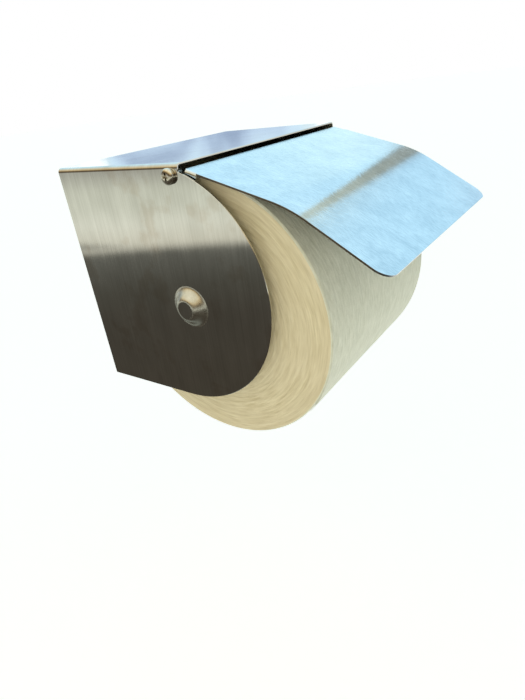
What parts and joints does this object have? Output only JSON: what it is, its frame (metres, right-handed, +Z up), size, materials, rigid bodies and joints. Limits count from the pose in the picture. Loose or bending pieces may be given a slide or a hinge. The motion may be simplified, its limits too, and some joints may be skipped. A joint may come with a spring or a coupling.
{
  "type": "hooded toilet paper holder",
  "caption": "Wall-mounted folded steel toilet paper holder with a hinged lid resting on the roll, a sprung telescopic spindle in pressed side bosses, and a fitted roll.",
  "frame": {"origin": "centre of the back plate's rear face, in the plane of the wall, half way up the housing and midway between its side plates", "axes": "+Y points into the wall, so the holder stands out towards -Y; +Z is up; +X is to the right for someone facing the holder"},
  "size_m": [0.138, 0.1599, 0.128],
  "materials": {
    "housing_steel": "vertically brushed stainless sheet",
    "lid_steel": "brushed stainless sheet",
    "plain_steel": "dull mill finish",
    "screw_steel": "bright plated",
    "chromed_tube": "polished",
    "spring_steel": "drawn wire",
    "white_nylon": "moulded",
    "grey_plastic": "moulded",
    "greyboard": "spirally wound board",
    "tissue": "soft wound tissue"
  },
  "bodies": {
    "housing": {"housing": "housing_steel", "back_plate": "plain_steel", "pivot_screw_left": "screw_steel", "pivot_screw_right": "screw_steel", "pivot_washer_left": "white_nylon", "pivot_washer_right": "white_nylon", "pivot_nut_left": "plain_steel", "pivot_nut_right": "plain_steel"},
    "lid": {"lid": "lid_steel"},
    "spindle_outer": {"spindle_outer_tube": "chromed_tube", "spindle_left_plug": "grey_plastic", "spindle_spring": "spring_steel"},
    "spindle_inner": {"spindle_inner_tube": "chromed_tube", "spindle_right_plug": "grey_plastic"},
    "paper": {"paper_core": "greyboard", "paper_roll": "tissue"}
  },
  "joints": [
    {"name": "lid_hinge", "type": "hinge", "parent": "housing", "child": "lid", "pos_m": [0, -0.0708, 0.0498], "axis": [-1, 0, 0], "range_deg": [0, 80]},
    {"name": "spindle_spin", "type": "hinge", "parent": "housing", "child": "spindle_outer", "pos_m": [0, -0.0683, -0.006], "axis": [1, 0, 0], "continuous": true},
    {"name": "spindle_compress", "type": "slide", "parent": "spindle_outer", "child": "spindle_inner", "axis": [1, 0, 0], "range_m": [-0.014, 0], "stiffness_N_per_m": 500, "springref_m": 0.02, "deforming": ["spindle_spring"]},
    {"name": "roll_spin", "type": "hinge", "parent": "housing", "child": "paper", "pos_m": [0, -0.0733, -0.01229], "axis": [1, 0, 0], "continuous": true}
  ]
}
